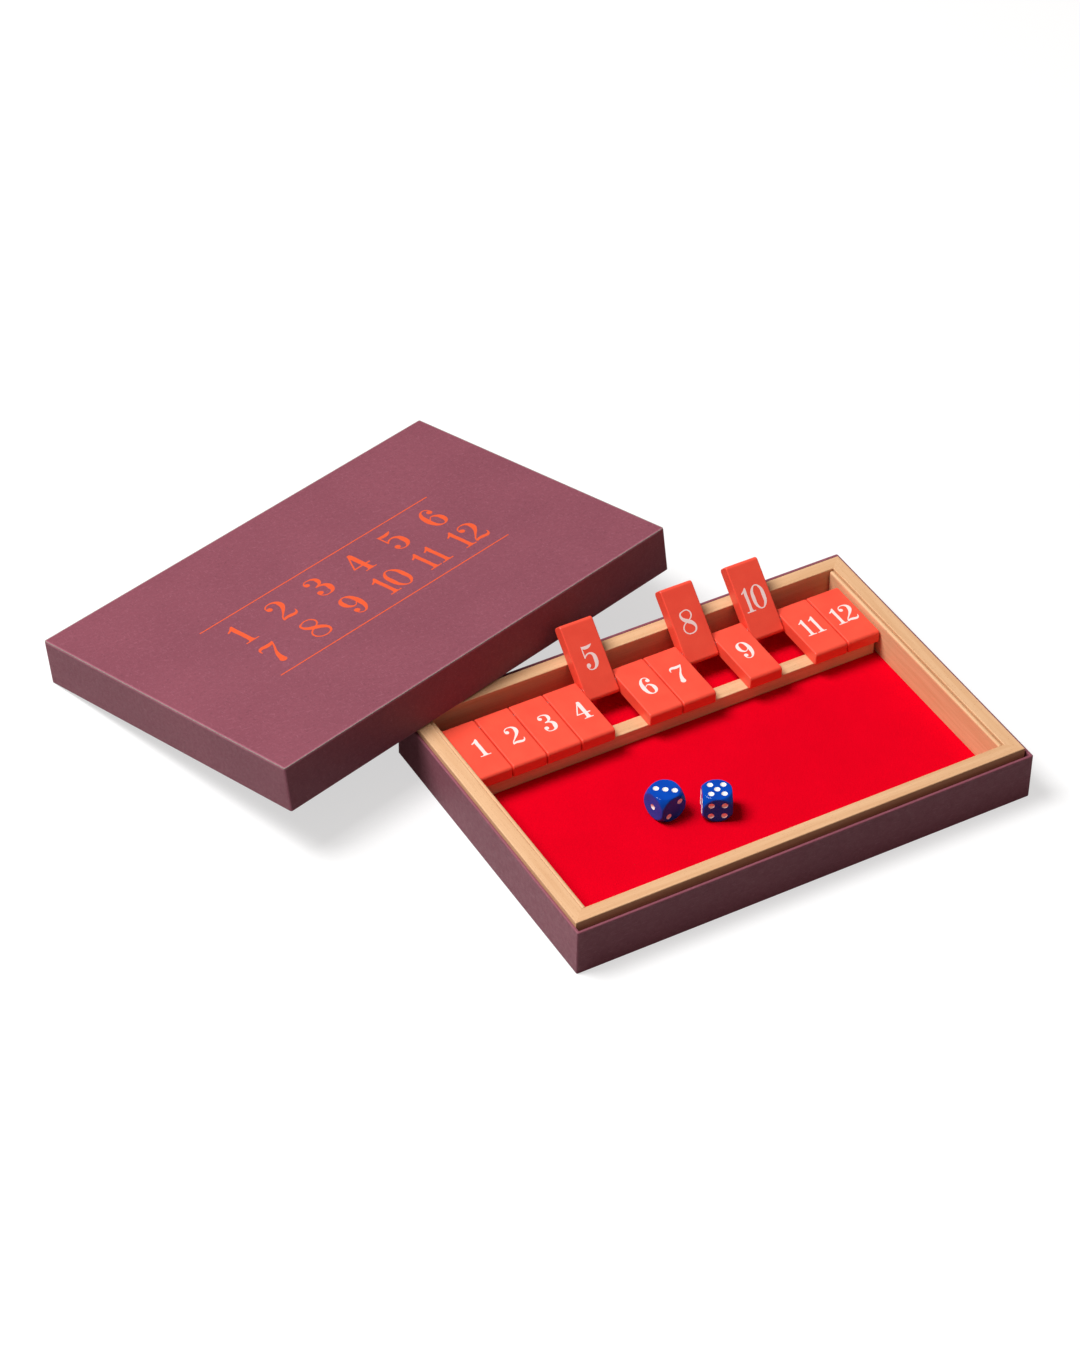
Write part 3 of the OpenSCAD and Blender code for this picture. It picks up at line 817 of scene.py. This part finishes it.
die_blue = start_material("die_blue", {"IOR": 1.3})
swirl = remap(die_blue, noise(die_blue, 7 * MM, 4), 0.35, 0.65)
die_tone = blend(die_blue, swirl, colour(*DIE_BLUE), colour(*DIE_DEEP))
die_scuff = remap(die_blue, noise(die_blue, 1.2 * MM, 4), 0.5, 0.75, 0.05, 0.12)
dress(die_blue, base=die_tone, rough=die_scuff, height=noise(die_blue, 2.5 * MM, 2), depth=0.03 * MM, strength=0.4)
pip_white = start_material("pip_white", {"Specular IOR Level": 0.5})
pip_dust = remap(pip_white, noise(pip_white, 0.5 * MM, 3), 0.4, 0.7)
dress(pip_white, base=blend(pip_white, pip_dust, colour(*PIP_WHITE), colour(*PIP_DUSTY)),
    rough=remap(pip_white, pip_dust, 0, 1, 0.3, 0.45))
print("dice materials:", die_blue.name, pip_white.name)

# %% One die
DIE = 18.5 * MM
DIE_BALL = 12.9 * MM
DIE_CELL = 0.35 * MM
PIP = 3.8 * MM
PIP_BALL = 3.0 * MM
PIP_STEP = 4.05
PAIR = [(-PIP_STEP, PIP_STEP), (PIP_STEP, -PIP_STEP)]
OTHER = [(-PIP_STEP, -PIP_STEP), (PIP_STEP, PIP_STEP)]
SIDES = [(0, PIP_STEP), (0, -PIP_STEP)]
PIPS = {1: [(0, 0)], 2: PAIR, 3: PAIR + [(0, 0)], 4: PAIR + OTHER, 5: PAIR + OTHER + [(0, 0)],
    6: PAIR + OTHER + SIDES}


def turned(axis, degrees):
    """A turn about one axis, in degrees."""
    return Matrix.Rotation(math.radians(degrees), 4, axis)


def carve_die(name, top, front, side):
    """A die about the origin, with a number on its top, front and left, and the sevens' rest on the others."""
    die = block(name, DIE, DIE, DIE)
    bpy.ops.object.select_all(action="DESELECT")
    bpy.ops.mesh.primitive_uv_sphere_add(segments=96, ring_count=64, radius=DIE_BALL)
    ball_shape = bpy.context.object
    apply_modifier(die, "BOOLEAN", operation="INTERSECT", object=ball_shape, solver="EXACT")
    bpy.data.objects.remove(ball_shape)
    apply_modifier(die, "REMESH", mode="VOXEL", voxel_size=DIE_CELL)
    apply_modifier(die, "SMOOTH", factor=0.5, iterations=14)
    die.data.materials.append(die_blue)
    turns = {top: Matrix.Identity(4), 7 - top: turned("X", 180), front: turned("X", 90) @ turned("Z", 90),
        7 - front: turned("X", -90), side: turned("Y", -90), 7 - side: turned("Y", 90)}
    lift = DIE / 2 + math.sqrt(PIP_BALL ** 2 - PIP ** 2 / 4)
    cutters = []
    for count, turn in turns.items():
        for x, y in PIPS[count]:
            bpy.ops.object.select_all(action="DESELECT")
            bpy.ops.mesh.primitive_uv_sphere_add(segments=32, ring_count=24, radius=PIP_BALL)
            cutter = bpy.context.object
            cutter.data.materials.append(pip_white)
            put(cutter, turn @ Matrix.Translation((x * MM, y * MM, lift)))
            cutters.append(cutter)
    take(cutters[0])
    for cutter in cutters:
        cutter.select_set(True)
    bpy.ops.object.join()
    cutters = bpy.context.object
    apply_modifier(die, "BOOLEAN", operation="DIFFERENCE", object=cutters, solver="EXACT",
        use_self=True, material_mode="TRANSFER")
    bpy.data.objects.remove(cutters)
    smooth(die, 30)
    return die


for body, yaw, faces in (("die_left", 8, (3, 2, 1)), ("die_right", -26.3, (5, 4, 6))):
    low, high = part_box(body)
    die = carve_die("blue_" + body, *faces)
    put(die, Matrix.Translation((low + high) / 2) @ turned("Z", yaw))
    finish_piece(die, body, [body])
    print(body, len(die.data.polygons), "faces")

# %% [markdown]
# ## The felt
# The tray's floor is a sheet of red wool felt, glued down. Seen close, felt is a dense mat with a short nap: no weave,
# only tiny hills and loose fibres. A fine grid with a little noise in its height gives the hills, and the material
# adds the fibres and the soft glow that a nap has where it is seen at a slant.

# %% The felt
FELT_CELL = 1.6 * MM
NAP_DEPTH = 0.16 * MM
NAP_SHEEN = (255, 40, 50)
WOOL_RED, WOOL_DEEP = (226, 0, 29), (219, 0, 27)
WOOL_MAT, WOOL_HAIR = (200, 0, 23), (235, 14, 38)

felt_low, felt_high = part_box("felt")
felt_size = felt_high - felt_low
bpy.ops.object.select_all(action="DESELECT")
bpy.ops.mesh.primitive_grid_add(x_subdivisions=round(felt_size.x / FELT_CELL),
    y_subdivisions=round(felt_size.y / FELT_CELL), size=1,
    location=((felt_low.x + felt_high.x) / 2, (felt_low.y + felt_high.y) / 2, felt_high.z - NAP_DEPTH))
felt = bpy.context.object
felt.name = "felt_sheet"
felt.scale = (felt_size.x, felt_size.y, 1)
bpy.ops.object.transform_apply(location=True, rotation=True, scale=True)
nap = bpy.data.textures.new("nap", "CLOUDS")
nap.noise_scale = 3 * MM
apply_modifier(felt, "DISPLACE", texture=nap, texture_coords="LOCAL", strength=NAP_DEPTH, mid_level=0.5)
apply_modifier(felt, "SOLIDIFY", thickness=felt_size.z - 2 * NAP_DEPTH, offset=-1)
smooth(felt, 60)

felt_red = start_material("felt_red", {"Roughness": 0.95, "Specular IOR Level": 0.02, "Sheen Weight": 0.1,
    "Sheen Roughness": 0.4, "Sheen Tint": colour(*NAP_SHEEN)})
wool_cloud = remap(felt_red, noise(felt_red, 25 * MM, 3), 0.3, 0.7)
wool_mat = remap(felt_red, noise(felt_red, 0.5 * MM, 4), 0.35, 0.65)
wool_hair = remap(felt_red, noise(felt_red, 0.25 * MM, 2, (9, 1, 1)), 0.62, 0.75)
wool_tone = blend(felt_red, wool_cloud, colour(*WOOL_RED), colour(*WOOL_DEEP))
wool_tone = blend(felt_red, maths(felt_red, "MULTIPLY", wool_mat, 0.25), wool_tone, colour(*WOOL_MAT))
wool_tone = blend(felt_red, maths(felt_red, "MULTIPLY", wool_hair, 0.3), wool_tone, colour(*WOOL_HAIR))
dress(felt_red, base=wool_tone, height=maths(felt_red, "ADD", wool_mat, wool_hair), depth=0.12 * MM, strength=0.7)
felt.data.materials.append(felt_red)
finish_piece(felt, "box_base", ["felt"])
print("felt:", [round(side / MM, 1) for side in felt_size], "mm,", len(felt.data.polygons), "faces")

# %% [markdown]
# ## The beech
# The tray is beech: pale, slightly pink, with no bold grain but many short dark flecks that lie along the board.
# Each piece of wood needs its flecks along its own length, so the material is made twice, once for boards along X
# and once for boards along Y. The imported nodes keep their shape, and only their material slots change.

# %% The beech
BEECH_PALE, BEECH_DARK = (229, 185, 142), (219, 172, 128)
BEECH_LINE, BEECH_FLECK = (200, 147, 103), (164, 108, 72)


def beech_material(name, along):
    """Beech whose grain runs along one axis: 0 for X and 1 for Y."""
    wood = start_material(name, {"Specular IOR Level": 0.35})
    def stretched(length):
        return tuple(length if axis == along else 1 for axis in range(3))
    bands = remap(wood, noise(wood, 3.5 * MM, 3, stretched(25)), 0.35, 0.65)
    lines = remap(wood, noise(wood, 0.45 * MM, 3, stretched(40)), 0.4, 0.68)
    flecks = remap(wood, noise(wood, 0.32 * MM, 1, stretched(6)), 0.66, 0.74)
    tone = blend(wood, bands, colour(*BEECH_PALE), colour(*BEECH_DARK))
    tone = blend(wood, maths(wood, "MULTIPLY", lines, 0.25), tone, colour(*BEECH_LINE))
    tone = blend(wood, maths(wood, "MULTIPLY", flecks, 0.5), tone, colour(*BEECH_FLECK))
    height = maths(wood, "SUBTRACT", noise(wood, 0.5 * MM, 2, stretched(30)), maths(wood, "MULTIPLY", flecks, 0.6))
    return dress(wood, base=tone, rough=remap(wood, lines, 0, 1, 0.45, 0.58), height=height, depth=0.06 * MM,
        strength=0.6)


beech_x = beech_material("beech_along_x", 0)
beech_y = beech_material("beech_along_y", 1)


def cover(nodes, material):
    """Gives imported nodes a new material."""
    for name in nodes:
        slots = frame["nodes"][name].material_slots
        if not slots:
            frame["nodes"][name].data.materials.append(material)
        for slot in slots:
            slot.material = material


cover(["front_wall", "back_wall", "rest_rail", "floor_panel"], beech_x)
cover(["left_wall", "right_wall"], beech_y)
print("beech on the walls, the rail and the floor panel")

# %% [markdown]
# ## The end slats
# A thin slat stands against each end wall and carries the rod. Its edges have been sanded round, so its top shows as
# a bright line beside a dark gap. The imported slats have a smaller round. A block with its top edges bevelled, and
# drilled for the rod, shows the sanding better. One slat is modelled and then copied to both ends.

# %% The end slats
SLAT_ROUND = 1.25 * MM
SLAT_END = 0.5 * MM
SLAT_GAP = 0.3 * MM

slat_low, slat_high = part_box("left_slat")
slat_size = slat_high - slat_low
rod_middle = (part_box("pivot_rod")[0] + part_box("pivot_rod")[1]) / 2
slat = block("slat", slat_size.x - SLAT_GAP, slat_size.y, slat_size.z)
bpy.ops.object.mode_set(mode="EDIT")
round_edges(slat, lambda edge: span(edge, 1) > slat_size.y / 2 and edge.verts[0].co.z > 0, SLAT_ROUND, 8)
round_edges(slat, lambda edge: span(edge, 1) < TOUCH and max(vert.co.z for vert in edge.verts) > 0, SLAT_END, 3)
bpy.ops.object.mode_set(mode="OBJECT")
drill_bore(slat, BORE / 2, slat_size.x * 3,
    (0, rod_middle.y - (slat_low.y + slat_high.y) / 2, rod_middle.z - (slat_low.z + slat_high.z) / 2))
smooth(slat, 35)
slat.data.materials.append(beech_y)
for side, inwards in (("left", 1), ("right", -1)):
    low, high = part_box(side + "_slat")
    place = Matrix.Translation((low + high) / 2 + Vector((inwards * SLAT_GAP / 2, 0, 0)))
    finish_piece(place_copy(slat, f"beech_slat_{side}", place), "box_base", [side + "_slat"])
bpy.data.objects.remove(slat)
print("slats:", [round(side / MM, 1) for side in slat_size], "mm")

# %% [markdown]
# ## Hidden and half-hidden things
# The lining paper, the grey board and the steel rod hardly show, yet each gets its own finish: someone who lifts the
# lid or a tile will see them.

# %% Lining paper, grey board and steel
LINING, LINING_DARK, LINING_RUBBED = (120, 66, 80), (104, 54, 68), (150, 92, 108)
PULP_PALE, PULP_DARK, PULP_CRUMB = (158, 152, 144), (136, 130, 122), (90, 84, 80)
STEEL_PALE, STEEL_DARK = (205, 205, 208), (170, 170, 176)

lining_paper = paper_material("lining_paper", LINING, LINING_DARK, LINING_RUBBED)
cover(["base_lining", "lid_lining"], lining_paper)

grey_board = start_material("grey_board", {"Roughness": 0.9, "Specular IOR Level": 0.15})
pulp = remap(grey_board, noise(grey_board, 1.5 * MM, 5), 0.3, 0.7)
crumbs = remap(grey_board, noise(grey_board, 0.6 * MM, 1), 0.68, 0.74)
pulp_tone = blend(grey_board, pulp, colour(*PULP_PALE), colour(*PULP_DARK))
pulp_tone = blend(grey_board, crumbs, pulp_tone, colour(*PULP_CRUMB))
dress(grey_board, base=pulp_tone, height=pulp, depth=0.08 * MM)
cover([name for name in frame["nodes"] if name.endswith("_board")], grey_board)

steel = start_material("steel", {"Metallic": 1.0, "Specular IOR Level": 0.5})
brushed = remap(steel, noise(steel, 0.12 * MM, 3, (1, 40, 40)), 0.3, 0.7)
dress(steel, base=blend(steel, brushed, colour(*STEEL_PALE), colour(*STEEL_DARK)),
    rough=remap(steel, brushed, 0, 1, 0.25, 0.4), height=brushed, depth=0.01 * MM)
cover(["pivot_rod", "spacer_washers"], steel)
print("covered: linings, boards, rod and washers")
